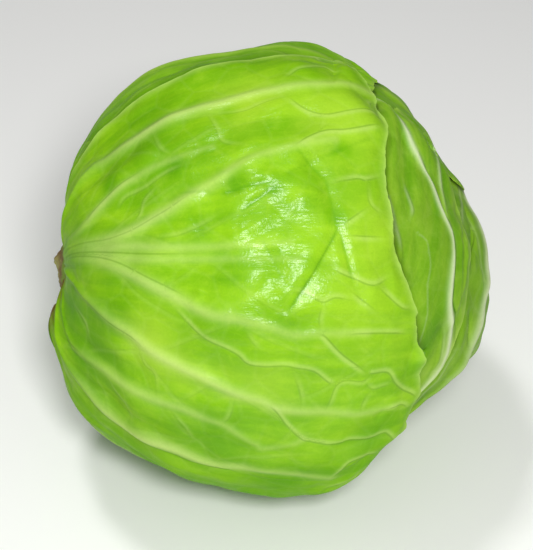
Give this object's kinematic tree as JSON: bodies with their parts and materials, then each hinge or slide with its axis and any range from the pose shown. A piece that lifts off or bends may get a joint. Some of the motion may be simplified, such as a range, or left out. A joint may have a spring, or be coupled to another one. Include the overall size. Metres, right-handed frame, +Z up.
{
  "type": "green cabbage",
  "caption": "Round green cabbage head lying on its side, with ribbed wrapper leaves overlapping from a cut stalk to the crown.",
  "frame": {"origin": "on the flat spot that the head lies on, straight below the head's centre", "axes": "+Z up from the surface it lies on; -X towards the stalk's cut end and +X towards the crown; -Y towards the viewer of the big wrapper leaf"},
  "size_m": [0.1768, 0.1772, 0.1751],
  "materials": {
    "face_leaf": "waxy living leaf, glossy on the swells, with paler ribs and veins",
    "back_leaf": "waxy living leaf, a little darker",
    "under_leaf": "waxy living leaf, the darkest",
    "crown_cover_leaf": "waxy living leaf with a fat pale rib",
    "back_inner_leaf": "waxy living leaf",
    "crown_leaf": "waxy living leaf, crinkled, with a pale rib",
    "heart": "pale packed leaves",
    "stalk": "dry cut face, browned at its rim"
  },
  "bodies": {
    "root": {"face_leaf": "face_leaf", "back_leaf": "back_leaf", "under_leaf": "under_leaf", "crown_cover_leaf": "crown_cover_leaf", "back_inner_leaf": "back_inner_leaf", "crown_leaf": "crown_leaf", "heart": "heart", "stalk": "stalk"}
  },
  "joints": []
}
